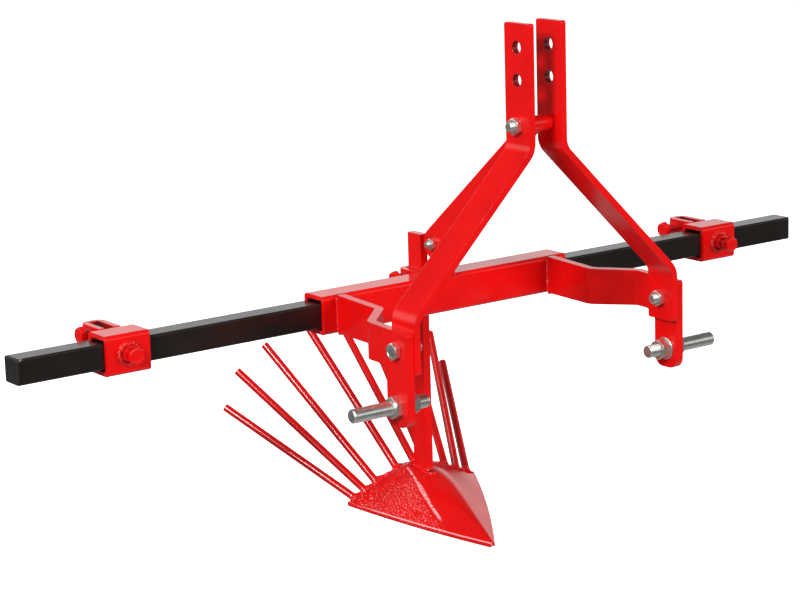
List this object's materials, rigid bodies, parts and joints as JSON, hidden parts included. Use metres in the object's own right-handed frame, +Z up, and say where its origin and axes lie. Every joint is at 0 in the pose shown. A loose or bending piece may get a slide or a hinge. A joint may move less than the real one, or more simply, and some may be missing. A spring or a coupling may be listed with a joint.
{
  "type": "potato digger",
  "caption": "Tractor-hitched potato digger: braced three-point mast, square toolbar in a welded sleeve, sliding tool clamps, and a height-set shank with an arched share and a fan of rods.",
  "frame": {"origin": "midway between the two lower hitch pins, on their common axis", "axes": "+X along the toolbar to the right, +Y to the rear away from the tractor, +Z up"},
  "size_m": [1.561, 0.5917, 0.8655],
  "materials": {
    "red_paint": "glossy red powder coat",
    "black_paint": "satin black powder coat",
    "zinc_plate": "bright zinc plate",
    "black_plastic": "moulded plastic with a fine grain"
  },
  "bodies": {
    "frame": {"bar_cap_left": "black_plastic", "bar_cap_right": "black_plastic", "brace": "red_paint", "brace_bolt": "zinc_plate", "brace_lug": "red_paint", "cross_bolt": "zinc_plate", "hitch_arm_left": "red_paint", "hitch_arm_right": "red_paint", "hitch_nut_left": "zinc_plate", "hitch_nut_right": "zinc_plate", "hitch_pin_left": "zinc_plate", "hitch_pin_right": "zinc_plate", "mast_spacer": "red_paint", "mast_strap_left": "red_paint", "mast_strap_right": "red_paint", "shank_set_bolt": "red_paint", "shank_socket": "red_paint", "sleeve": "red_paint", "strap_bolt_left": "zinc_plate", "strap_bolt_right": "zinc_plate", "toolbar": "black_paint"},
    "clamp_left": {"clamp_tube_left": "red_paint", "clamp_nut_left": "red_paint", "clamp_bolt_left": "red_paint", "clamp_socket_left": "red_paint", "socket_bolt_left": "red_paint"},
    "clamp_right": {"clamp_tube_right": "red_paint", "clamp_nut_right": "red_paint", "clamp_bolt_right": "red_paint", "clamp_socket_right": "red_paint", "socket_bolt_right": "red_paint"},
    "digger": {"rod_centre": "red_paint", "rod_left_1": "red_paint", "rod_left_2": "red_paint", "rod_left_3": "red_paint", "rod_left_4": "red_paint", "rod_right_1": "red_paint", "rod_right_2": "red_paint", "rod_right_3": "red_paint", "rod_right_4": "red_paint", "shank": "red_paint", "share": "red_paint"}
  },
  "joints": [
    {"name": "clamp_left_slide", "type": "slide", "parent": "frame", "child": "clamp_left", "axis": [1, 0, 0], "range_m": [-0.13, 0.29]},
    {"name": "clamp_right_slide", "type": "slide", "parent": "frame", "child": "clamp_right", "axis": [1, 0, 0], "range_m": [-0.26, 0.13]},
    {"name": "shank_height", "type": "slide", "parent": "frame", "child": "digger", "axis": [0, 0, 1], "range_m": [-0.05, 0.15]}
  ]
}
